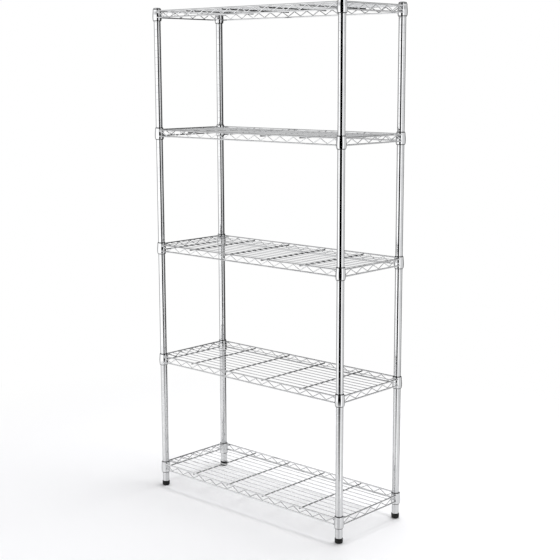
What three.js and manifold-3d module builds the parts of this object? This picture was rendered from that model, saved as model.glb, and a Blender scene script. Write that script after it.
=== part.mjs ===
// Five-tier wire shelving rack, 36 x 14 x 72 inches, in millimetres, +Z up.
// The origin is on the floor, under the middle of the rack. X runs along the shelves, and -Y is the front.
import * as THREE from "three";
import { mergeVertices } from "three/addons/utils/BufferGeometryUtils.js";
import Module from "manifold-3d";

const wasm = await Module();
wasm.setup();

// Driving dimensions
const inch = 25.4;
const overallHeight = 72 * inch;
const postSpacingLength = 880;
const postSpacingDepth = 320;
const shelfCount = 5;
const groovePitch = inch;
const groovesPerShelf = 17;
const joinedShelf = 3; // the shelf whose sleeves hide the joint in each post

// Fits
const fit = 0.3; // clearance between neighbouring pieces
const weldBite = 0.8; // depth to which welded wires sink into each other
const roundSides = 12;
const wireSides = 4;
const mergeTolerance = 1e-4; // corners closer than this are one corner of a solid

// Posts
const postDiameter = 25.4;
const postWall = 1.2;
const joinerLength = 60;
const joinerChamfer = 2;

// Feet
const footHeight = 18;
const footDiameter = 28.4;
const footEdgeRadius = 4;
const studDiameter = 8;
const studEngagement = 9; // depth of the stud in the foot
const insertHeight = 20;
const studStandOut = 5; // stud above the insert when the foot is screwed home

// Caps
const capDomeHeight = 4;
const capLip = 0.8; // how far the dome stands out past the post
const capLipThickness = 1;
const capSpigotLength = 14;
const domeSteps = 3;

// Split sleeves: cones that wedge the collars
const sleeveHeight = 45;
const sleeveBottomWall = 1.7;
const sleeveTopWall = 0.9;
const sleeveShowing = 2.5; // how much of a sleeve shows above and below its collar

// Corner collars
const collarBottomWall = 1.3;
const collarBellyWall = 2.2;
const collarTopWall = 1.5;
const bellyStart = 8; // heights of the belly above the collar's bottom edge
const bellyEnd = 20;

// Shelf wires
const railWire = 5;
const zigzagWire = 3;
const crossWire = 4.5;
const deckWire = 2.8;
const railInset = 5.7; // from the collars' outermost line in to the rails
const upperRailBelowCollarTop = 6;
const railSpacing = 23;
const zigzagHalfPitch = 30;
const crossWireCount = 4;
const wavesPerCrossWire = 3; // odd, so that each cross wire passes where the zigzag is low
const deckWireCount = 10;
const deckWireMargin = 38.75; // from a long rail to the nearest deck wire, clear of the collars

// Heights that follow from them
const shelfPitch = groovesPerShelf * groovePitch;
const postTop = overallHeight - capDomeHeight;
const postBottom = footHeight;
const topSleeveBottom = postTop - sleeveHeight;
const sleeveBottom = (shelf) => topSleeveBottom - (shelfCount - shelf) * shelfPitch;
const jointHeight = sleeveBottom(joinedShelf) + sleeveHeight / 2;
const postRadius = postDiameter / 2;
const tubeRadius = postRadius - postWall;
const plugRadius = tubeRadius - fit;
const sleeveBottomRadius = postRadius + fit + sleeveBottomWall;
const sleeveTopRadius = postRadius + fit + sleeveTopWall;
const collarHeight = sleeveHeight - 2 * sleeveShowing;

const corners = [
  { name: "front_left", x: -postSpacingLength / 2, y: -postSpacingDepth / 2 },
  { name: "front_right", x: postSpacingLength / 2, y: -postSpacingDepth / 2 },
  { name: "back_left", x: -postSpacingLength / 2, y: postSpacingDepth / 2 },
  { name: "back_right", x: postSpacingLength / 2, y: postSpacingDepth / 2 },
];

// Materials
function standard(color, roughness, metalness) {
  return new THREE.MeshStandardMaterial({ color, roughness, metalness });
}

const chrome = standard(0xd4d6d8, 0.12, 1);
const zincSteel = standard(0xa9abad, 0.4, 1);
const sleevePlastic = standard(0x16171a, 0.45, 0);
const footPlastic = standard(0x0b0b0c, 0.5, 0);
const plugPlastic = standard(0x2a2b2d, 0.6, 0);

const rack = new THREE.Group();

function addPart(name, geometry, material, x = 0, y = 0, z = 0) {
  const mesh = new THREE.Mesh(geometry, material.clone());
  mesh.name = name;
  mesh.position.set(x, y, z);
  rack.add(mesh);
}

// Turns a profile of [radius, height] points round the Z axis.
function turned(profile) {
  const points = profile.map(([radius, height]) => new THREE.Vector2(radius, height));
  return new THREE.LatheGeometry(points, roundSides).rotateX(Math.PI / 2);
}

// A ring's profile runs up its outside and closes on itself down its inside.
function ring(outside, inside) {
  return turned([...outside, ...inside, outside[0]]);
}

function toSolid(geometry) {
  const bare = geometry.index ? geometry.toNonIndexed() : geometry.clone();
  bare.deleteAttribute("normal");
  bare.deleteAttribute("uv");
  const merged = mergeVertices(bare, mergeTolerance);
  const mesh = new wasm.Mesh({
    numProp: 3,
    vertProperties: new Float32Array(merged.attributes.position.array),
    triVerts: new Uint32Array(merged.index.array),
  });
  return new wasm.Manifold(mesh);
}

function toGeometry(solid) {
  const mesh = solid.getMesh();
  const geometry = new THREE.BufferGeometry();
  geometry.setAttribute("position", new THREE.BufferAttribute(mesh.vertProperties, 3));
  geometry.setIndex(new THREE.BufferAttribute(mesh.triVerts, 1));
  return geometry;
}

// Joins solids two by two, so that no join handles more than it needs.
function joinAll(solids) {
  if (solids.length === 1) return solids[0];
  const half = Math.ceil(solids.length / 2);
  return joinAll(solids.slice(0, half)).add(joinAll(solids.slice(half)));
}

// Each group of four holds one piece of a kind at every post.
function addAtPosts(kind, geometry, material, z) {
  for (const corner of corners) {
    addPart(`${kind}_${corner.name}`, geometry, material, corner.x, corner.y, z);
  }
}

// Posts: a lower and an upper tube, with a joiner inside
function tube(length) {
  return ring([[postRadius, 0], [postRadius, length]], [[tubeRadius, length], [tubeRadius, 0]]);
}

function joiner() {
  const flat = plugRadius - joinerChamfer;
  return turned([
    [0, 0],
    [flat, 0],
    [plugRadius, joinerChamfer],
    [plugRadius, joinerLength - joinerChamfer],
    [flat, joinerLength],
    [0, joinerLength],
  ]);
}

// The cap's dome is an arc from its lip to its crown, over a spigot inside the tube.
function cap() {
  const lipRadius = postRadius + capLip;
  const lipHeight = fit + capLipThickness;
  const rise = capDomeHeight - lipHeight;
  const dome = [];
  for (let i = 0; i <= domeSteps; i += 1) {
    const angle = (i / domeSteps) * (Math.PI / 2);
    dome.push([lipRadius * Math.cos(angle), lipHeight + rise * Math.sin(angle)]);
  }
  dome[domeSteps][0] = 0;
  const spigot = [[0, -capSpigotLength], [plugRadius, -capSpigotLength], [plugRadius, fit]];
  return turned([...spigot, [lipRadius, fit], ...dome]);
}

addAtPosts("lower_post", tube(jointHeight - fit / 2 - postBottom), chrome, postBottom);
addAtPosts("upper_post", tube(postTop - jointHeight - fit / 2), chrome, jointHeight + fit / 2);
addAtPosts("post_joiner", joiner(), zincSteel, jointHeight - joinerLength / 2);
addAtPosts("post_cap", cap(), chrome, postTop);

// Feet: a threaded insert in the tube's end, and a moulded foot on a steel stud
const studRadius = studDiameter / 2;
const studBottom = footHeight - fit - studEngagement;
const studLength = postBottom + insertHeight + studStandOut - studBottom;

function footInsert() {
  const bore = studRadius + fit;
  return ring([[plugRadius, 0], [plugRadius, insertHeight]], [[bore, insertHeight], [bore, 0]]);
}

function foot() {
  const radius = footDiameter / 2;
  const top = footHeight - fit;
  const bore = studRadius + fit;
  const boreBottom = studBottom - fit;
  const bevel = footEdgeRadius * (1 - Math.SQRT1_2);
  return turned([
    [0, 0],
    [radius - footEdgeRadius, 0],
    [radius - bevel, bevel],
    [radius, footEdgeRadius],
    [radius, top],
    [bore, top],
    [bore, boreBottom],
    [0, boreBottom],
  ]);
}

function stud() {
  return turned([[0, 0], [studRadius, 0], [studRadius, studLength], [0, studLength]]);
}

addAtPosts("foot_insert", footInsert(), plugPlastic, postBottom);
addAtPosts("levelling_foot", foot(), footPlastic, 0);
addAtPosts("foot_stud", stud(), zincSteel, studBottom);

// Sleeves and collars share one taper, a fit apart.
const sleeveRadiusAt = (height) => {
  const share = height / sleeveHeight;
  return (1 - share) * sleeveBottomRadius + share * sleeveTopRadius;
};

function sleeve() {
  const bore = postRadius + fit;
  return ring(
    [[sleeveRadiusAt(0), 0], [sleeveRadiusAt(sleeveHeight), sleeveHeight]],
    [[bore, sleeveHeight], [bore, 0]],
  );
}

for (let shelf = 1; shelf <= shelfCount; shelf += 1) {
  addAtPosts(`sleeve_${shelf}`, sleeve(), sleevePlastic, sleeveBottom(shelf));
}

// A shelf is modelled with Z 0 at the bottom edge of its sleeves.
const collarBottom = sleeveShowing;
const collarTop = collarBottom + collarHeight;
const upperRailHeight = collarTop - upperRailBelowCollarTop;
const lowerRailHeight = upperRailHeight - railSpacing;
const bellyRadius = sleeveBottomRadius + fit + collarBellyWall;
const railOffset = bellyRadius - railInset;
const longRailY = postSpacingDepth / 2 + railOffset;
const endRailX = postSpacingLength / 2 + railOffset;
const crossWirePitch = 2 * zigzagHalfPitch * wavesPerCrossWire;
const deckReach = longRailY - deckWireMargin;

// A rail ends in the collar's wall, where its inner side has just cleared the bore.
const boreChord = Math.sqrt((sleeveBottomRadius + fit) ** 2 - (railOffset - railWire / 2) ** 2);
const wireEndFromAxis = boreChord + weldBite;

// A collar is a barrel outside, and its bore follows the sleeve's cone.
function collar() {
  const boreRadiusAt = (height) => sleeveRadiusAt(height) + fit;
  return ring(
    [
      [boreRadiusAt(collarBottom) + collarBottomWall, collarBottom],
      [bellyRadius, collarBottom + bellyStart],
      [bellyRadius, collarBottom + bellyEnd],
      [boreRadiusAt(collarTop) + collarTopWall, collarTop],
    ],
    [[boreRadiusAt(collarTop), collarTop], [boreRadiusAt(collarBottom), collarBottom]],
  );
}

// Wire of a length, centred, along X or along Y. It is faceted, with an edge up.
function wireAlongX(diameter, length) {
  return new THREE.CylinderGeometry(diameter / 2, diameter / 2, length, wireSides).rotateZ(Math.PI / 2);
}

function wireAlongY(diameter, length) {
  return new THREE.CylinderGeometry(diameter / 2, diameter / 2, length, wireSides);
}

// A zigzag lies in the XZ plane, with a bend at the top in its middle.
// Its last legs stop inside the collars' walls.
function zigzag(reach) {
  const inset = railWire / 2 - weldBite;
  const slope = Math.atan2(railSpacing - 2 * inset, zigzagHalfPitch);
  const halfBand = zigzagWire / 2 / Math.cos(slope);
  const high = upperRailHeight - inset - halfBand;
  const low = lowerRailHeight + inset + halfBand;
  const fullLegs = Math.floor(reach / zigzagHalfPitch);
  const bendHeight = (i) => (i % 2 === 0 ? high : low);
  const lastShare = reach / zigzagHalfPitch - fullLegs;
  const endHeight = (1 - lastShare) * bendHeight(fullLegs) + lastShare * bendHeight(fullLegs + 1);
  const bends = [[-reach, endHeight]];
  for (let i = -fullLegs; i <= fullLegs; i += 1) {
    bends.push([i * zigzagHalfPitch, bendHeight(i)]);
  }
  bends.push([reach, endHeight]);
  const upperEdge = bends.map(([x, z]) => new THREE.Vector2(x, z + halfBand));
  const lowerEdge = bends.map(([x, z]) => new THREE.Vector2(x, z - halfBand)).reverse();
  const outline = new THREE.Shape([...upperEdge, ...lowerEdge]);
  const band = new THREE.ExtrudeGeometry(outline, { depth: zigzagWire, bevelEnabled: false });
  return band.translate(0, 0, -zigzagWire / 2).rotateX(Math.PI / 2);
}

// The frame: rails and zigzags on four sides, their ends welded into the walls of four collars
function shelfFrame() {
  const pieces = corners.map(({ x, y }) => toSolid(collar().translate(x, y, 0)));
  const longReach = postSpacingLength / 2 - wireEndFromAxis;
  const endReach = postSpacingDepth / 2 - wireEndFromAxis;
  for (const side of [-1, 1]) {
    for (const height of [upperRailHeight, lowerRailHeight]) {
      const longRail = wireAlongX(railWire, 2 * longReach);
      const endRail = wireAlongY(railWire, 2 * endReach);
      pieces.push(toSolid(longRail.translate(0, side * longRailY, height)));
      pieces.push(toSolid(endRail.translate(side * endRailX, 0, height)));
    }
    pieces.push(toSolid(zigzag(longReach).translate(0, side * longRailY, 0)));
    pieces.push(toSolid(zigzag(endReach).rotateZ(Math.PI / 2).translate(side * endRailX, 0, 0)));
  }
  return toGeometry(joinAll(pieces));
}

// The deck: wires along the shelf, lying on cross wires that hang under the long upper rails
function shelfDeck() {
  const crossHeight = upperRailHeight - railWire / 2 - fit - crossWire / 2;
  const deckHeight = crossHeight + crossWire / 2 + deckWire / 2 - weldBite;
  const crossLength = 2 * longRailY + railWire;
  const deckLength = 2 * (endRailX - railWire / 2 - fit);
  const pieces = [];
  for (let i = 0; i < crossWireCount; i += 1) {
    const x = (i - (crossWireCount - 1) / 2) * crossWirePitch;
    pieces.push(toSolid(wireAlongY(crossWire, crossLength).translate(x, 0, crossHeight)));
  }
  for (let i = 0; i < deckWireCount; i += 1) {
    const y = deckReach * ((2 * i) / (deckWireCount - 1) - 1);
    pieces.push(toSolid(wireAlongX(deckWire, deckLength).translate(0, y, deckHeight)));
  }
  return toGeometry(joinAll(pieces));
}

const frameGeometry = shelfFrame();
const deckGeometry = shelfDeck();
for (let shelf = 1; shelf <= shelfCount; shelf += 1) {
  addPart(`shelf_${shelf}_frame`, frameGeometry, chrome, 0, 0, sleeveBottom(shelf));
  addPart(`shelf_${shelf}_deck`, deckGeometry, chrome, 0, 0, sleeveBottom(shelf));
}

export default rack;
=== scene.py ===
"""A five-tier chrome wire shelving rack on a white studio floor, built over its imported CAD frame."""

import math

import bmesh
import bpy
from mathutils import Matrix, Vector


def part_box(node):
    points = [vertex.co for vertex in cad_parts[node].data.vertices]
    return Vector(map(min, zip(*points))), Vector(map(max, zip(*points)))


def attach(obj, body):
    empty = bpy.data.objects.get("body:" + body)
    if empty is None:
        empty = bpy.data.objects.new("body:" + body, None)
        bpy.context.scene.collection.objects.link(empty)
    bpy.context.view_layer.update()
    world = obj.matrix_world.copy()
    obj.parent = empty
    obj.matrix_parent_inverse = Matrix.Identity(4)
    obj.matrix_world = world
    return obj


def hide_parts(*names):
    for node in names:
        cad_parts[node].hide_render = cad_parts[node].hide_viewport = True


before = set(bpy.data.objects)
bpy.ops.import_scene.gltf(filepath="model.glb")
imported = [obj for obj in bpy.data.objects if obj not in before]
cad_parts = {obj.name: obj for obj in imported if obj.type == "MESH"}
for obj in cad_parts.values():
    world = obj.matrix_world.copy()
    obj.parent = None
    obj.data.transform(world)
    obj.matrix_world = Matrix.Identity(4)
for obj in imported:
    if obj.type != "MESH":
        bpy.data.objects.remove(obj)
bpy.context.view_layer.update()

MM = 0.001
INCH = 25.4 * MM
UP = Vector((0, 0, 1))
ALONG_X = Vector((1, 0, 0))
ALONG_Y = Vector((0, 1, 0))
CORNERS = ("front_left", "front_right", "back_left", "back_right")
SHELVES = range(1, 6)

# Sizes that the frame's boxes don't give
TUBE_WALL = 1.2 * MM
GROOVE_DEPTH = 0.2 * MM
GROOVE_HALF_WIDTH = 1.0 * MM
EDGE = 0.5 * MM
FIT = 0.3 * MM
SLEEVE_TOP_WALL = 0.9 * MM
SLEEVE_SPLIT = 0.9 * MM
COLLAR_BOTTOM_WALL = 1.3 * MM
COLLAR_TOP_WALL = 1.5 * MM
COLLAR_BELLY_SHARE = 0.35
RAIL = 2.5 * MM
ZIGZAG = 1.5 * MM
CROSS = 2.25 * MM
DECK = 1.4 * MM
WELD_BITE = 0.8 * MM
UPPER_RAIL_DROP = 6 * MM
RAIL_SPACING = 23 * MM
RAIL_INSET = 5.7 * MM
ZIGZAG_HALF_PITCH = 30 * MM
ZIGZAG_BEND = 5 * MM
CROSS_PITCH = 180 * MM
CROSS_COUNT = 4
DECK_COUNT = 10
DECK_MARGIN = 38.75 * MM
THREAD_PITCH = 1.25 * MM
THREAD_DEPTH = 0.55 * MM
JOINER_PITCH = 2 * MM
JOINER_DEPTH = 1 * MM

# How finely round shapes are divided, and how their poles are closed
ROUND = 48
WIRE_SIDES = 10
ZIGZAG_SIDES = 8
POLE_RADIUS = 0.001 * MM
POLE_MERGE = 0.005 * MM
CREASE = math.radians(32)


# Materials

def new_material(name):
    material = bpy.data.materials.new(name)
    material.use_nodes = True
    return material, material.node_tree, material.node_tree.nodes["Principled BSDF"]


def noise(tree, scale, detail, stretch=(1, 1, 1)):
    """Noise in the piece's own space. A small stretch along an axis draws the noise out along it."""
    place = tree.nodes.new("ShaderNodeTexCoord")
    mapping = tree.nodes.new("ShaderNodeMapping")
    mapping.inputs["Scale"].default_value = stretch
    tree.links.new(place.outputs["Object"], mapping.inputs["Vector"])
    texture = tree.nodes.new("ShaderNodeTexNoise")
    texture.inputs["Scale"].default_value = scale
    texture.inputs["Detail"].default_value = detail
    tree.links.new(mapping.outputs["Vector"], texture.inputs["Vector"])
    return texture.outputs["Fac"]


def vary(tree, value, low, high, socket):
    """Sends noise to a socket, spread from low to high."""
    spread = tree.nodes.new("ShaderNodeMapRange")
    spread.inputs["From Min"].default_value = 0.3
    spread.inputs["From Max"].default_value = 0.7
    spread.inputs["To Min"].default_value = low
    spread.inputs["To Max"].default_value = high
    tree.links.new(value, spread.inputs["Value"])
    tree.links.new(spread.outputs["Result"], socket)


def blend_colours(tree, value, first, second, socket):
    ramp = tree.nodes.new("ShaderNodeValToRGB")
    ramp.color_ramp.elements[0].position = 0.35
    ramp.color_ramp.elements[1].position = 0.65
    ramp.color_ramp.elements[0].color = (*first, 1)
    ramp.color_ramp.elements[1].color = (*second, 1)
    tree.links.new(value, ramp.inputs["Fac"])
    tree.links.new(ramp.outputs["Color"], socket)


def bump(tree, shader, height, depth, strength=1.0):
    node = tree.nodes.new("ShaderNodeBump")
    node.inputs["Strength"].default_value = strength
    node.inputs["Distance"].default_value = depth
    tree.links.new(height, node.inputs["Height"])
    tree.links.new(node.outputs["Normal"], shader.inputs["Normal"])


PLATE_DEEP = (0.56, 0.565, 0.575)
PLATE_PALE = (0.63, 0.635, 0.64)


def chrome(name, stretch, lumps, depth, painted_shade_tone=1.0):
    """Bright plate: nearly a mirror, with faint clouding, and the tube's or wire's draw lines under it.

    Below 1, the last argument darkens the plate's colour. This is painted shade, standing in for the shadowed
    floor that the wires reflect.
    """
    material, tree, shader = new_material(name)
    shader.inputs["Metallic"].default_value = 1.0
    cloud = noise(tree, scale=14, detail=4)
    deep = [painted_shade_tone * share for share in PLATE_DEEP]
    pale = [painted_shade_tone * share for share in PLATE_PALE]
    blend_colours(tree, cloud, deep, pale, shader.inputs["Base Color"])
    lines = noise(tree, scale=260, detail=5, stretch=stretch)
    vary(tree, lines, low=0.02, high=0.08, socket=shader.inputs["Roughness"])
    bump(tree, shader, noise(tree, lumps, detail=2, stretch=stretch), depth)
    return material


def zinc_plate():
    material, tree, shader = new_material("zinc_plate")
    shader.inputs["Metallic"].default_value = 1.0
    spangle = noise(tree, scale=160, detail=4)
    blend_colours(tree, spangle, (0.50, 0.52, 0.53), (0.66, 0.66, 0.64), shader.inputs["Base Color"])
    vary(tree, noise(tree, scale=420, detail=4), low=0.26, high=0.45, socket=shader.inputs["Roughness"])
    bump(tree, shader, noise(tree, scale=1500, detail=3), depth=0.02 * MM)
    return material


def plastic(name, dark, light, low, high, grain):
    """Moulded plastic, black or nearly so, with a fine spark-eroded grain."""
    material, tree, shader = new_material(name)
    shader.inputs["Specular IOR Level"].default_value = 0.2
    blend_colours(tree, noise(tree, scale=90, detail=3), dark, light, shader.inputs["Base Color"])
    vary(tree, noise(tree, scale=300, detail=4), low, high, shader.inputs["Roughness"])
    bump(tree, shader, noise(tree, grain, detail=2), depth=0.03 * MM, strength=0.6)
    return material


DRAWN_ALONG_Z = (1, 1, 0.03)
DRAWN_EVENLY = (0.4, 0.4, 0.4)
POST_CHROME = chrome("post_chrome", DRAWN_ALONG_Z, lumps=240, depth=0.012 * MM)
SHELF_CHROME = chrome("shelf_chrome", DRAWN_EVENLY, lumps=320, depth=0.02 * MM)
# The cross wires' plate is darkened to 0.7 of its colour: painted shade for the shadowed floor under the
# shelf that they reflect.
CROSS_CHROME_PAINTED_SHADE = chrome("cross_wire_chrome_painted_shade", DRAWN_EVENLY, lumps=320, depth=0.02 * MM, painted_shade_tone=0.7)
WELD_CHROME = chrome("weld_chrome", DRAWN_EVENLY, lumps=900, depth=0.06 * MM)
ZINC = zinc_plate()
SLEEVE_PLASTIC = plastic(
    "sleeve_plastic", dark=(0.008, 0.008, 0.009), light=(0.016, 0.016, 0.017), low=0.34, high=0.5, grain=2600,
)
FOOT_PLASTIC = plastic(
    "foot_plastic", dark=(0.005, 0.005, 0.005), light=(0.012, 0.012, 0.012), low=0.3, high=0.48, grain=2200,
)
INSERT_PLASTIC = plastic(
    "insert_plastic", dark=(0.03, 0.03, 0.032), light=(0.05, 0.05, 0.052), low=0.45, high=0.62, grain=1800,
)


# Meshes, each a pair of a vertex list and a face list

def joined(parts):
    points, faces = [], []
    for more_points, more_faces in parts:
        start = len(points)
        points += more_points
        faces += [[start + i for i in face] for face in more_faces]
    return points, faces


def moved(part, by):
    return [point + Vector(by) for point in part[0]], part[1]


def grid_faces(columns, rows, wrap_columns, wrap_rows):
    """Quads of a grid of points, column after column."""
    faces = []
    for c in range(columns if wrap_columns else columns - 1):
        across = (c + 1) % columns
        for r in range(rows if wrap_rows else rows - 1):
            up = (r + 1) % rows
            faces.append([c * rows + r, across * rows + r, across * rows + up, c * rows + up])
    return faces


def turned(profile, closed, start=0.0, sweep=2 * math.pi, segments=ROUND):
    """A profile of (radius, height) turned round Z. A closed one returns to its first point."""
    whole = sweep >= 2 * math.pi - 1e-6
    columns = segments if whole else segments + 1
    points = []
    for c in range(columns):
        angle = start + sweep * c / segments
        points += [Vector((r * math.cos(angle), r * math.sin(angle), z)) for r, z in profile]
    rows = len(profile)
    faces = grid_faces(columns, rows, whole, closed)
    if not whole:
        faces.append(list(range(rows))[::-1])
        faces.append([(columns - 1) * rows + r for r in range(rows)])
    return points, faces


def arc(centre_r, centre_z, radius, start, end, steps):
    """Points of a profile's rounded edge, from one angle to another, in degrees."""
    turns = [math.radians(start + (end - start) * i / steps) for i in range(steps + 1)]
    return [(centre_r + radius * math.cos(a), centre_z + radius * math.sin(a)) for a in turns]


END_SHARES = (0.15, 0.6, 1.0)
END_DEPTH = 0.5


def rounded_end(tip, inward, radius):
    """Centres and radii of the rings that round a wire's end over, from its tip inwards."""
    return [
        (tip + inward * radius * END_DEPTH * share ** 2, radius * math.sin(share * math.pi / 2))
        for share in END_SHARES
    ]


def wire(path, side, radius, sides=WIRE_SIDES):
    """Round wire along a flat path, with rounded ends. side is the normal of the path's plane."""
    first = (path[1] - path[0]).normalized()
    last = (path[-1] - path[-2]).normalized()
    rings = [(centre, first, size) for centre, size in rounded_end(path[0], first, radius)]
    rings.append((path[0] + first * radius, first, radius))
    for before, here, after in zip(path, path[1:], path[2:]):
        rings.append((here, (after - before).normalized(), radius))
    rings.append((path[-1] - last * radius, last, radius))
    rings += [(centre, last, size) for centre, size in reversed(rounded_end(path[-1], -last, radius))]
    points = []
    for centre, tangent, size in rings:
        out = tangent.cross(side)
        for s in range(sides):
            angle = 2 * math.pi * (s + 0.5) / sides
            points.append(centre + (side * math.cos(angle) + out * math.sin(angle)) * size)
    faces = grid_faces(len(rings), sides, False, True)
    faces.append(list(range(sides))[::-1])
    faces.append([(len(rings) - 1) * sides + s for s in range(sides)])
    return points, faces


def straight(start, end, radius):
    start, end = Vector(start), Vector(end)
    side = UP if abs((end - start).z) < 1e-9 else ALONG_X
    return wire([start, end], side, radius)


LONGEST_FILLET = 0.45


def filleted(corners, radius, steps=4):
    """A path with its inner corners rounded, over less than half of the shorter leg at each."""
    path = [corners[0]]
    for before, here, after in zip(corners, corners[1:], corners[2:]):
        into = (here - before).normalized()
        away = (after - here).normalized()
        turn = into.angle(away)
        shorter = min((here - before).length, (after - here).length)
        back = min(radius * math.tan(turn / 2), LONGEST_FILLET * shorter)
        start, end = here - into * back, here + away * back
        for i in range(steps + 1):
            t = i / steps
            path.append(start * (1 - t) ** 2 + here * 2 * t * (1 - t) + end * t ** 2)
    path.append(corners[-1])
    return path


SWELL = 0.12
SWELL_TURN_X = 90
SWELL_TURN_Y = 70
POLE_TILT = 0.001


def nugget(centre, size, segments=8, rows=4):
    """A weld's low lump of metal: a bead that is fuller one way, which turns from weld to weld."""
    points = []
    for c in range(segments):
        angle = 2 * math.pi * c / segments
        swell = 1 + SWELL * math.cos(angle * 2 + centre[0] * SWELL_TURN_X + centre[1] * SWELL_TURN_Y)
        for r in range(rows + 1):
            tilt = math.pi * (r + POLE_TILT) / (rows + 2 * POLE_TILT)
            across = math.sin(tilt) * swell
            points.append(Vector((
                centre[0] + size[0] * across * math.cos(angle),
                centre[1] + size[1] * across * math.sin(angle),
                centre[2] + size[2] * math.cos(tilt),
            )))
    return points, grid_faces(segments, rows + 1, True, False)


def build_mesh(name, part, material):
    """A mesh of closed parts, with the tiny rings at their poles merged and every face turned outwards."""
    mesh = bpy.data.meshes.new(name)
    points, faces = part
    mesh.from_pydata([tuple(point) for point in points], [], faces)
    shape = bmesh.new()
    shape.from_mesh(mesh)
    bmesh.ops.remove_doubles(shape, verts=shape.verts, dist=POLE_MERGE)
    bmesh.ops.recalc_face_normals(shape, faces=shape.faces)
    shape.to_mesh(mesh)
    shape.free()
    mesh.validate()
    mesh.update()
    mesh.materials.append(material)
    mesh.shade_smooth()
    mesh.set_sharp_from_angle(angle=CREASE)
    return mesh


def place(name, mesh, body, slot, nodes, at=(0, 0, 0)):
    """Shows a mesh as a piece that rides on a body and stands for CAD nodes."""
    piece = bpy.data.objects.new(name, mesh)
    bpy.context.scene.collection.objects.link(piece)
    piece.location = at
    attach(piece, body)
    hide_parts(*nodes)
    return piece


# Places taken from the frame

def middle(node):
    low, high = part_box(node)
    return (low + high) / 2


def axis_of(corner):
    centre = middle(f"lower_post_{corner}")
    return Vector((centre.x, centre.y, 0))


def height_of(node):
    low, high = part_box(node)
    return high.z - low.z


def width_of(node):
    low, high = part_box(node)
    return high.x - low.x


POST_RADIUS = width_of("lower_post_front_left") / 2
SLEEVE_HEIGHT = height_of("sleeve_1_front_left")
SLEEVE_RADIUS = width_of("sleeve_1_front_left") / 2
SLEEVE_BOTTOM = {s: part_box(f"sleeve_{s}_front_left")[0].z for s in SHELVES}
COLLAR_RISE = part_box("shelf_1_frame")[0].z - SLEEVE_BOTTOM[1]
COLLAR_HEIGHT = height_of("shelf_1_frame")
HALF_LENGTH = axis_of("front_right").x
HALF_DEPTH = axis_of("back_left").y
BELLY_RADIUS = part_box("shelf_1_frame")[1].x - HALF_LENGTH
RAIL_X = HALF_LENGTH + BELLY_RADIUS - RAIL_INSET
RAIL_Y = HALF_DEPTH + BELLY_RADIUS - RAIL_INSET
UPPER_RAIL = COLLAR_RISE + COLLAR_HEIGHT - UPPER_RAIL_DROP
LOWER_RAIL = UPPER_RAIL - RAIL_SPACING


# Posts

GROOVE_FROM_END = 3 * MM
GROOVE_SHARES = (-1.3, -1, -0.5, 0, 0.5, 1, 1.3)


def post_profile(bottom, top):
    """A tube with a shallow rolled groove every inch, counted from the middle of a sleeve."""
    grooves = []
    zero = SLEEVE_BOTTOM[1] + SLEEVE_HEIGHT / 2
    first = math.ceil((bottom + GROOVE_FROM_END - zero) / INCH)
    last = math.floor((top - GROOVE_FROM_END - zero) / INCH)
    for k in range(first, last + 1):
        centre = zero + k * INCH
        for share in GROOVE_SHARES:
            depth = GROOVE_DEPTH * (1 + math.cos(math.pi * max(-1, min(1, share)))) / 2
            grooves.append((POST_RADIUS - depth, centre + GROOVE_HALF_WIDTH * share))
    inner = POST_RADIUS - TUBE_WALL
    return [
        (inner, bottom),
        (POST_RADIUS - EDGE, bottom),
        (POST_RADIUS, bottom + EDGE),
        *grooves,
        (POST_RADIUS, top - EDGE),
        (POST_RADIUS - EDGE, top),
        (inner, top),
    ]


def make_posts():
    for kind in ("lower_post", "upper_post"):
        low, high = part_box(f"{kind}_front_left")
        mesh = build_mesh(kind, turned(post_profile(low.z, high.z), closed=True), POST_CHROME)
        for corner in CORNERS:
            node = f"{kind}_{corner}"
            place(f"grooved_{node}", mesh, "posts", "post_chrome", [node], axis_of(corner))


def make_caps():
    """Domed caps, each with a plain spigot inside its post."""
    low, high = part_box("post_cap_front_left")
    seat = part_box("upper_post_front_left")[1].z + FIT
    lip = (high.x - low.x) / 2
    spigot = POST_RADIUS - TUBE_WALL - FIT
    rim = 0.9 * MM
    bevel = 0.15 * MM
    rise = high.z - seat - rim
    steps = 10
    dome = []
    for i in range(steps + 1):
        angle = math.pi / 2 * i / steps
        dome.append((lip * math.cos(angle) + POLE_RADIUS, seat + rim + rise * math.sin(angle)))
    profile = [
        (POLE_RADIUS, low.z),
        (spigot - EDGE, low.z),
        (spigot, low.z + EDGE),
        (spigot, seat),
        (lip - EDGE, seat),
        (lip - bevel, seat + bevel),
        (lip, seat + EDGE),
        *dome,
    ]
    mesh = build_mesh("post_cap", turned(profile, closed=False), POST_CHROME)
    for corner in CORNERS:
        node = f"post_cap_{corner}"
        place(f"domed_{node}", mesh, "posts", "post_chrome", [node], axis_of(corner))


def make_joiners():
    """The threaded rod that holds the two lengths of a post together."""
    low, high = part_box("post_joiner_front_left")
    radius = (high.x - low.x) / 2
    mesh = build_mesh("joiner", thread(low.z, high.z, radius, JOINER_PITCH, JOINER_DEPTH), ZINC)
    for corner in CORNERS:
        node = f"post_joiner_{corner}"
        place(f"threaded_{node}", mesh, "posts", "zinc_steel", [node], axis_of(corner))


FADE_PITCHES = 2
SHALLOWEST_CUT = 0.35
END_TAPER = 0.6


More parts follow.
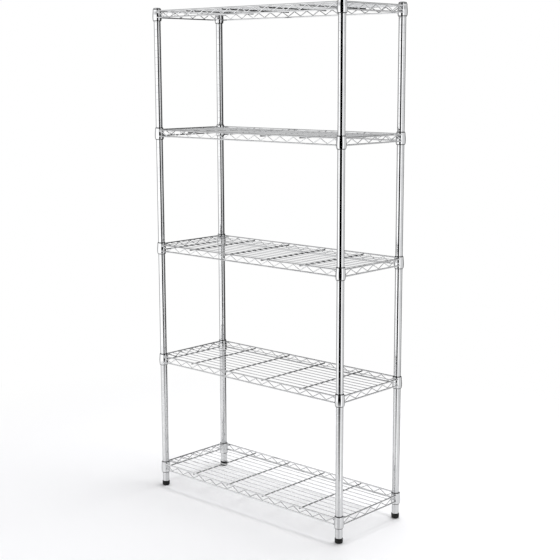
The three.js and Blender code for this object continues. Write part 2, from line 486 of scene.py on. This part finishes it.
def thread(bottom, top, radius, pitch, depth, segments=24, steps=8):
    """A screw: its radius rises and falls once a pitch along a helix. Both ends are shallower and tapered."""
    rows = int((top - bottom) / pitch * steps)
    heights = [bottom + (top - bottom) * r / rows for r in range(rows + 1)]
    points = []
    for c in range(segments):
        share = c / segments
        angle = 2 * math.pi * share
        for z in heights:
            phase = ((z - bottom) / pitch - share) % 1
            fade = min(1, (z - bottom) / (FADE_PITCHES * pitch), (top - z) / (FADE_PITCHES * pitch))
            cut = depth * (abs(phase - 0.5) * 2) * max(SHALLOWEST_CUT, fade)
            size = radius - cut - depth * END_TAPER * (1 - max(0, fade))
            points.append(Vector((size * math.cos(angle), size * math.sin(angle), z)))
    count = rows + 1
    faces = grid_faces(segments, count, True, False)
    faces.append([c * count for c in range(segments)][::-1])
    faces.append([c * count + rows for c in range(segments)])
    return points, faces


# Feet

def make_feet():
    low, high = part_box("levelling_foot_front_left")
    radius = (high.x - low.x) / 2
    stud_low, stud_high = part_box("foot_stud_front_left")
    stud = (stud_high.x - stud_low.x) / 2
    bore = stud + FIT
    hollow = 0.6 * MM
    round_over = 4 * MM
    waist = 0.5 * MM
    waist_top = high.z - 2.6 * MM
    waist_bottom = high.z - 5 * MM
    waist_slope = 0.6 * MM
    profile = [
        (POLE_RADIUS, hollow),
        (radius * 0.5, hollow),
        (radius * 0.55, 0),
        *arc(radius - round_over, round_over, round_over, start=-90, end=0, steps=6),
        (radius, waist_bottom),
        (radius - waist, waist_bottom + waist_slope),
        (radius - waist, waist_top - waist_slope),
        (radius, waist_top),
        (radius, high.z - EDGE),
        (radius - EDGE, high.z),
        (bore, high.z),
        (bore, stud_low.z - FIT),
        (POLE_RADIUS, stud_low.z - FIT),
    ]
    foot = build_mesh("foot", turned(profile, closed=False), FOOT_PLASTIC)
    screw = build_mesh("screw", thread(stud_low.z, stud_high.z, stud, THREAD_PITCH, THREAD_DEPTH), ZINC)
    insert_low, insert_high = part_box("foot_insert_front_left")
    insert = build_mesh("insert", ribbed_insert(insert_low, insert_high, bore), INSERT_PLASTIC)
    for corner in CORNERS:
        at = axis_of(corner)
        body = f"foot_{corner}"
        place(f"rounded_foot_{corner}", foot, body, "foot_plastic", [f"levelling_foot_{corner}"], at)
        place(f"threaded_stud_{corner}", screw, body, "zinc_steel", [f"foot_stud_{corner}"], at)
        place(f"ribbed_insert_{corner}", insert, "posts", "insert_plastic", [f"foot_insert_{corner}"], at)


def ribbed_insert(low, high, bore):
    """A plug with three crush ribs round it and a bore for the foot's screw."""
    radius = (high.x - low.x) / 2
    height = high.z - low.z
    root = radius - 0.6 * MM
    ramp_start = 1.6 * MM
    ramp_end = 0.4 * MM
    lead_in = 0.8 * MM
    tip = 1.2 * MM
    outside = [(radius - EDGE, low.z), (radius, low.z + EDGE)]
    for share in (0.3, 0.55, 0.8):
        rib = low.z + height * share
        outside += [(root, rib - ramp_start), (root, rib - ramp_end), (radius, rib)]
    outside += [(radius - lead_in, high.z - EDGE), (radius - tip, high.z)]
    return turned([(bore, low.z), *outside, (bore, high.z)], closed=True)


# Sleeves and collars share one taper.

def sleeve_radius(rise):
    top = POST_RADIUS + FIT + SLEEVE_TOP_WALL
    return SLEEVE_RADIUS + (top - SLEEVE_RADIUS) * rise / SLEEVE_HEIGHT


def half_sleeve(start):
    """One half of a split sleeve: a tapered shell with rounded rims and two shallow rings round it."""
    bore = POST_RADIUS + FIT
    rim = 0.35 * MM
    ring_depth = 0.22 * MM
    ring_floor = 1.1 * MM
    ring_mouth = 1.5 * MM
    outside = [(sleeve_radius(0) - rim, 0), (sleeve_radius(rim), rim)]
    for share in (0.3, 0.7):
        ring = SLEEVE_HEIGHT * share
        root = sleeve_radius(ring) - ring_depth
        outside.append((sleeve_radius(ring - ring_mouth), ring - ring_mouth))
        outside.append((root, ring - ring_floor))
        outside.append((root, ring + ring_floor))
        outside.append((sleeve_radius(ring + ring_mouth), ring + ring_mouth))
    outside += [(sleeve_radius(SLEEVE_HEIGHT - rim), SLEEVE_HEIGHT - rim)]
    outside += [(sleeve_radius(SLEEVE_HEIGHT) - rim, SLEEVE_HEIGHT)]
    gap = SLEEVE_SPLIT / bore / 2
    profile = [(bore, 0), *outside, (bore, SLEEVE_HEIGHT)]
    return turned(profile, True, start + gap, math.pi - 2 * gap, ROUND // 2)


def make_sleeves():
    halves = {
        "a": build_mesh("sleeve_half_a", half_sleeve(math.pi / 4), SLEEVE_PLASTIC),
        "b": build_mesh("sleeve_half_b", half_sleeve(math.pi * 5 / 4), SLEEVE_PLASTIC),
    }
    for shelf in SHELVES:
        for corner in CORNERS:
            node = f"sleeve_{shelf}_{corner}"
            at = axis_of(corner) + UP * SLEEVE_BOTTOM[shelf]
            for half, mesh in halves.items():
                place(f"{node}_half_{half}", mesh, "posts", "sleeve_plastic", [node], at)


def collar_part():
    """A collar bulges below its middle and curls in at its bottom edge. Its bore follows the sleeve."""
    def bore(rise):
        return sleeve_radius(COLLAR_RISE + rise) + FIT
    bottom = bore(0) + COLLAR_BOTTOM_WALL
    top = bore(COLLAR_HEIGHT) + COLLAR_TOP_WALL
    belly_at = COLLAR_HEIGHT * COLLAR_BELLY_SHARE
    lip = 0.55 * MM
    bevel = lip * 0.3
    curl = 2.5
    steps = 20
    outside = [(bottom - lip, 0), (bottom - bevel, bevel)]
    for i in range(steps + 1):
        rise = lip + (COLLAR_HEIGHT - 2 * lip) * i / steps
        if rise < belly_at:
            share = (belly_at - rise) / (belly_at - lip)
            radius = BELLY_RADIUS - (BELLY_RADIUS - bottom) * share ** curl
        else:
            share = (rise - belly_at) / (COLLAR_HEIGHT - lip - belly_at)
            radius = BELLY_RADIUS - (BELLY_RADIUS - top) * (1 - math.cos(math.pi * share)) / 2
        outside.append((radius, rise))
    outside += [(top - bevel, COLLAR_HEIGHT - bevel), (top - lip, COLLAR_HEIGHT)]
    profile = [(bore(0), 0), *outside, (bore(COLLAR_HEIGHT), COLLAR_HEIGHT)]
    return moved(turned(profile, closed=True), (0, 0, COLLAR_RISE))


# Shelves, modelled with Z 0 at the bottom edge of their sleeves

def wire_end():
    """How far from a post's axis, along the shelf, the rails end inside the collar's wall."""
    bore = SLEEVE_RADIUS + FIT
    inner_side = BELLY_RADIUS - RAIL_INSET - RAIL
    return math.sqrt(bore ** 2 - inner_side ** 2) + WELD_BITE


def zigzag_corners(reach):
    """Bends of a zigzag along X, with an upper bend at X 0, between two rails."""
    high = UPPER_RAIL - RAIL - ZIGZAG + WELD_BITE
    low = LOWER_RAIL + RAIL + ZIGZAG - WELD_BITE
    legs = math.floor(reach / ZIGZAG_HALF_PITCH)
    heights = [high if i % 2 == 0 else low for i in range(legs + 2)]
    last = reach / ZIGZAG_HALF_PITCH - legs
    end = (1 - last) * heights[legs] + last * heights[legs + 1]
    corners = [Vector((i * ZIGZAG_HALF_PITCH, 0, heights[abs(i)])) for i in range(-legs, legs + 1)]
    return [Vector((-reach, 0, end)), *corners, Vector((reach, 0, end))]


def turned_about_z(part, angle):
    turn = Matrix.Rotation(angle, 3, "Z")
    return [turn @ point for point in part[0]], part[1]


def side_part(reach):
    """Two rails with a zigzag between them, along X, at Y 0."""
    rails = [straight((-reach, 0, z), (reach, 0, z), RAIL) for z in (UPPER_RAIL, LOWER_RAIL)]
    bends = filleted(zigzag_corners(reach), ZIGZAG_BEND)
    return joined([*rails, wire(bends, ALONG_Y, ZIGZAG, ZIGZAG_SIDES)])


# Half sizes of the weld beads along X, Y and Z, with a side's rails lying along X
BEND_WELD = (3.2 * MM, 1.35 * MM, 0.9 * MM)
COLLAR_WELD = (2.4 * MM, 2.9 * MM, 2.9 * MM)
CROSSING_WELD = (2.1 * MM, 1.7 * MM, 0.8 * MM)
CROSS_END_WELD = (2.6 * MM, 2.2 * MM, 1.0 * MM)
DECK_END_WELD = (0.7 * MM, 2.0 * MM, 1.6 * MM)
BEND_WELD_DROP = 0.1 * MM
COLLAR_WELD_INSET = 1.6 * MM
CROSSING_WELD_DROP = 0.2 * MM
DECK_END_WELD_INSET = 0.7 * MM


def side_welds(reach):
    """A weld at each bend of a side's zigzag, and where its wires meet the collars."""
    parts = []
    for corner in zigzag_corners(reach)[1:-1]:
        rail = UPPER_RAIL if corner.z > (UPPER_RAIL + LOWER_RAIL) / 2 else LOWER_RAIL
        toward = 1 if rail == UPPER_RAIL else -1
        centre = (corner.x, 0, rail - toward * (RAIL + BEND_WELD_DROP))
        parts.append(nugget(centre, BEND_WELD))
    for end in (-reach, reach):
        for z in (UPPER_RAIL, LOWER_RAIL):
            inward = -1 if end > 0 else 1
            parts.append(nugget((end + inward * COLLAR_WELD_INSET, 0, z), COLLAR_WELD))
    return joined(parts)


def cross_places():
    return [(i - (CROSS_COUNT - 1) / 2) * CROSS_PITCH for i in range(CROSS_COUNT)]


def deck_places():
    reach = RAIL_Y - DECK_MARGIN
    return [reach * (2 * i / (DECK_COUNT - 1) - 1) for i in range(DECK_COUNT)]


CROSS_HEIGHT = UPPER_RAIL - RAIL - FIT - CROSS
DECK_HEIGHT = CROSS_HEIGHT + CROSS + DECK - WELD_BITE
DECK_END = RAIL_X - RAIL - FIT
CROSS_END = RAIL_Y + RAIL


def deck_welds():
    """Welds where wires cross, at the deck wires' ends, and where cross wires meet the long rails."""
    parts = []
    for x in cross_places():
        for y in deck_places():
            parts.append(nugget((x, y, CROSS_HEIGHT + CROSS - CROSSING_WELD_DROP), CROSSING_WELD))
        for y in (-RAIL_Y, RAIL_Y):
            parts.append(nugget((x, y, CROSS_HEIGHT + CROSS), CROSS_END_WELD))
    for x in (-DECK_END + DECK_END_WELD_INSET, DECK_END - DECK_END_WELD_INSET):
        for y in deck_places():
            parts.append(nugget((x, y, DECK_HEIGHT), DECK_END_WELD))
    return joined(parts)


def make_shelves():
    long_reach = HALF_LENGTH - wire_end()
    end_reach = HALF_DEPTH - wire_end()
    long_side = build_mesh("long_side", side_part(long_reach), SHELF_CHROME)
    end_side = build_mesh("end_side", turned_about_z(side_part(end_reach), math.pi / 2), SHELF_CHROME)
    collar = build_mesh("collar", collar_part(), SHELF_CHROME)
    cross_wires = [
        straight((x, -CROSS_END, CROSS_HEIGHT), (x, CROSS_END, CROSS_HEIGHT), CROSS)
        for x in cross_places()
    ]
    deck_wires = [
        straight((-DECK_END, y, DECK_HEIGHT), (DECK_END, y, DECK_HEIGHT), DECK)
        for y in deck_places()
    ]
    cross = build_mesh("cross_wires", joined(cross_wires), CROSS_CHROME_PAINTED_SHADE)
    deck = build_mesh("deck_wires", joined(deck_wires), SHELF_CHROME)
    long_welds = side_welds(long_reach)
    end_welds = turned_about_z(side_welds(end_reach), math.pi / 2)
    frame_welds = build_mesh("frame_welds", joined([
        moved(long_welds, (0, -RAIL_Y, 0)),
        moved(long_welds, (0, RAIL_Y, 0)),
        moved(end_welds, (-RAIL_X, 0, 0)),
        moved(end_welds, (RAIL_X, 0, 0)),
    ]), WELD_CHROME)
    wire_welds = build_mesh("wire_welds", deck_welds(), WELD_CHROME)
    for shelf in SHELVES:
        body = f"shelf_{shelf}"
        base = UP * SLEEVE_BOTTOM[shelf]
        framing, decking = f"{body}_frame", f"{body}_deck"
        for name, mesh, at in (
            ("front_rails", long_side, (0, -RAIL_Y, 0)),
            ("back_rails", long_side, (0, RAIL_Y, 0)),
            ("left_rails", end_side, (-RAIL_X, 0, 0)),
            ("right_rails", end_side, (RAIL_X, 0, 0)),
            ("frame_welds", frame_welds, (0, 0, 0)),
        ):
            place(f"{body}_{name}", mesh, body, "shelf_chrome", [framing], base + Vector(at))
        for corner in CORNERS:
            place(f"{body}_collar_{corner}", collar, body, "shelf_chrome", [framing], base + axis_of(corner))
        for name, mesh in (("cross_wires", cross), ("deck_wires", deck), ("deck_welds", wire_welds)):
            place(f"{body}_{name}", mesh, body, "shelf_chrome", [decking], base)


# Stage: a white floor that fades into a white surround, soft light, and cards that only the chrome sees

# Brightness that chrome sees in the room and its two walls, and that lights matt surfaces from all round
ROOM = 0.58
LIGHT_WALL = 1.0
BRIGHT_WALL = 1.75
AROUND = 0.7

# Where the walls stand, as directions in degrees, and how high they reach, as sines of an elevation
LIGHT_SPAN = (-155, 90)
BRIGHT_SPAN = (-150, -10)
WALL_SOFT_EDGE = 14
WALL_TOP = 0.1
WALL_TOP_FADE = 0.15

# The floor in metres: where it whitens, and where it clears for chrome, from its middle outwards
FLOOR_RADIUS = 4.5
FLOOR_EYE = 0.001
FLOOR_DROP = 0.0005
FLOOR_WHITENS = (0.9, 2.2)
FLOOR_CLEARS = (1.6, 3.0)
FLOOR_CLEAR_NEAR = 0.35

CARD_REACH = 2.4

LAMP_SIZE = (1.6, 1.2)
LAMP_ENERGY = 82
LAMP_PLACE = (0.25, 0.7, 4.0)
LAMP_AIM = Vector((0, 0, 0.8))

SENSOR = 36
LENS = 77
CAMERA_PLACE = (2.930, -3.174, 1.600)
CAMERA_DOWN = 9.91
CAMERA_ROLL = 0.14
CAMERA_HEADING = 42.47


def white_floor():
    """Matt white that turns, towards the disc's rim, into the white of the surround.

    Chrome sees the surround through it, faintly near the rack and fully towards the rim.
    """
    material, tree, shader = new_material("white_floor")
    shader.inputs["Base Color"].default_value = (0.95, 0.95, 0.965, 1)
    shader.inputs["Roughness"].default_value = 0.75
    shader.inputs["Specular IOR Level"].default_value = 0.2
    spot = tree.nodes.new("ShaderNodeTexCoord")
    length = tree.nodes.new("ShaderNodeVectorMath")
    length.operation = "LENGTH"
    tree.links.new(spot.outputs["Object"], length.inputs[0])
    distance = length.outputs["Value"]
    glow = tree.nodes.new("ShaderNodeEmission")
    clear = tree.nodes.new("ShaderNodeBsdfTransparent")
    path = tree.nodes.new("ShaderNodeLightPath")
    rim = tree.nodes.new("ShaderNodeMixShader")
    seen = tree.nodes.new("ShaderNodeMixShader")
    tree.links.new(step(tree, distance, *FLOOR_WHITENS), rim.inputs["Fac"])
    tree.links.new(shader.outputs["BSDF"], rim.inputs[1])
    tree.links.new(glow.outputs["Emission"], rim.inputs[2])
    polish = lerp(tree, step(tree, distance, *FLOOR_CLEARS), FLOOR_CLEAR_NEAR, 1.0)
    tree.links.new(product(tree, polish, path.outputs["Is Glossy Ray"]), seen.inputs["Fac"])
    tree.links.new(rim.outputs["Shader"], seen.inputs[1])
    tree.links.new(clear.outputs["BSDF"], seen.inputs[2])
    tree.links.new(seen.outputs["Shader"], tree.nodes["Material Output"].inputs["Surface"])
    return material


def make_floor():
    points, faces = turned([(FLOOR_EYE, 0), (FLOOR_RADIUS, 0)], closed=False, segments=96)
    mesh = bpy.data.meshes.new("floor")
    mesh.from_pydata([tuple(point) for point in points], [], faces)
    mesh.materials.append(white_floor())
    floor = bpy.data.objects.new("floor", mesh)
    floor.location.z = -FLOOR_DROP
    bpy.context.scene.collection.objects.link(floor)


def make_card(name, start, end, brightness, fade=0.0):
    """A tall card beside the rack, seen only in reflections, as a studio's flags and bounce cards are.

    It reaches below the floor, which is partly see-through to chrome. From the floor up to the height of fade
    it turns from the room's brightness to its own.
    """
    corners = [(*start, -CARD_REACH), (*end, -CARD_REACH), (*end, CARD_REACH), (*start, CARD_REACH)]
    mesh = bpy.data.meshes.new(name)
    mesh.from_pydata(corners, [], [(0, 1, 2, 3)])
    card = bpy.data.objects.new(name, mesh)
    bpy.context.scene.collection.objects.link(card)
    card.visible_camera = False
    card.visible_diffuse = False
    card.visible_shadow = False
    card.visible_transmission = False
    material, tree, _ = new_material(name)
    glow = tree.nodes.new("ShaderNodeEmission")
    if fade:
        spot = tree.nodes.new("ShaderNodeTexCoord")
        split = tree.nodes.new("ShaderNodeSeparateXYZ")
        tree.links.new(spot.outputs["Object"], split.inputs["Vector"])
        level = lerp(tree, step(tree, split.outputs["Z"], 0.0, fade), ROOM, brightness)
        tree.links.new(level, glow.inputs["Strength"])
    else:
        glow.inputs["Strength"].default_value = brightness
    tree.links.new(glow.outputs["Emission"], tree.nodes["Material Output"].inputs["Surface"])
    mesh.materials.append(material)


def step(tree, value, start, end):
    """0 before start, 1 after end, and a smooth rise between."""
    ramp = tree.nodes.new("ShaderNodeMapRange")
    ramp.interpolation_type = "SMOOTHSTEP"
    ramp.inputs["From Min"].default_value = start
    ramp.inputs["From Max"].default_value = end
    tree.links.new(value, ramp.inputs["Value"])
    return ramp.outputs["Result"]


def product(tree, first, second):
    node = tree.nodes.new("ShaderNodeMath")
    node.operation = "MULTIPLY"
    tree.links.new(first, node.inputs[0])
    tree.links.new(second, node.inputs[1])
    return node.outputs["Value"]


def lerp(tree, share, first, second):
    """first where share is 0 and second where it is 1."""
    node = tree.nodes.new("ShaderNodeMix")
    for value, name in ((share, "Factor"), (first, "A"), (second, "B")):
        if isinstance(value, float):
            node.inputs[name].default_value = value
        else:
            tree.links.new(value, node.inputs[name])
    return node.outputs["Result"]


def make_surround():
    """White all round for the camera. Chrome sees a low bright wall, a light one, and a dimmer room."""
    world = bpy.data.worlds.new("studio")
    bpy.context.scene.world = world
    world.use_nodes = True
    tree = world.node_tree
    background = tree.nodes["Background"]
    background.inputs["Color"].default_value = (1, 1, 1, 1)
    path = tree.nodes.new("ShaderNodeLightPath")
    direction = tree.nodes.new("ShaderNodeTexCoord")
    split = tree.nodes.new("ShaderNodeSeparateXYZ")
    tree.links.new(direction.outputs["Generated"], split.inputs["Vector"])
    azimuth = tree.nodes.new("ShaderNodeMath")
    azimuth.operation = "ARCTAN2"
    tree.links.new(split.outputs["Y"], azimuth.inputs[0])
    tree.links.new(split.outputs["X"], azimuth.inputs[1])
    turn = azimuth.outputs["Value"]
    rise = split.outputs["Z"]

    def wall(start, end):
        """A low stretch of wall between two directions, with soft edges."""
        low, high, edge = math.radians(start), math.radians(end), math.radians(WALL_SOFT_EDGE)
        across = product(tree, step(tree, turn, low, low + edge), step(tree, turn, high, high - edge))
        return product(tree, across, step(tree, rise, WALL_TOP + WALL_TOP_FADE, WALL_TOP))

    glossy = lerp(tree, wall(*LIGHT_SPAN), ROOM, LIGHT_WALL)
    glossy = lerp(tree, wall(*BRIGHT_SPAN), glossy, BRIGHT_WALL)
    seen = lerp(tree, path.outputs["Is Glossy Ray"], AROUND, glossy)
    seen = lerp(tree, path.outputs["Is Camera Ray"], seen, 1.0)
    tree.links.new(seen, background.inputs["Strength"])


def make_light():
    lamp = bpy.data.lights.new("overhead_softbox", "AREA")
    lamp.shape = "RECTANGLE"
    lamp.size, lamp.size_y = LAMP_SIZE
    lamp.energy = LAMP_ENERGY
    light = bpy.data.objects.new("overhead_softbox", lamp)
    light.location = LAMP_PLACE
    light.visible_glossy = False
    light.rotation_euler = (LAMP_AIM - light.location).to_track_quat("-Z", "Y").to_euler()
    bpy.context.scene.collection.objects.link(light)


def make_camera():
    data = bpy.data.cameras.new("camera")
    data.sensor_width = SENSOR
    data.lens = LENS
    camera = bpy.data.objects.new("camera", data)
    camera.location = CAMERA_PLACE
    tilt = math.radians(90 - CAMERA_DOWN)
    camera.rotation_euler = (tilt, math.radians(CAMERA_ROLL), math.radians(CAMERA_HEADING))
    bpy.context.scene.collection.objects.link(camera)
    bpy.context.scene.camera = camera


make_posts()
make_caps()
make_joiners()
make_feet()
make_sleeves()
make_shelves()
make_floor()
make_card("dark_front_card", start=(1.065, -0.413), end=(0.401, -1.263), brightness=0.0, fade=0.45)
make_card("bright_side_card", start=(0.9, -0.346), end=(0.9, -0.13), brightness=BRIGHT_WALL)
make_card("dark_back_card", start=(0.6, 0.5), end=(-0.4, 0.5), brightness=0.04, fade=0.32)
make_surround()
make_light()
make_camera()
bpy.context.scene.view_settings.view_transform = "Standard"

bpy.context.view_layer.update()
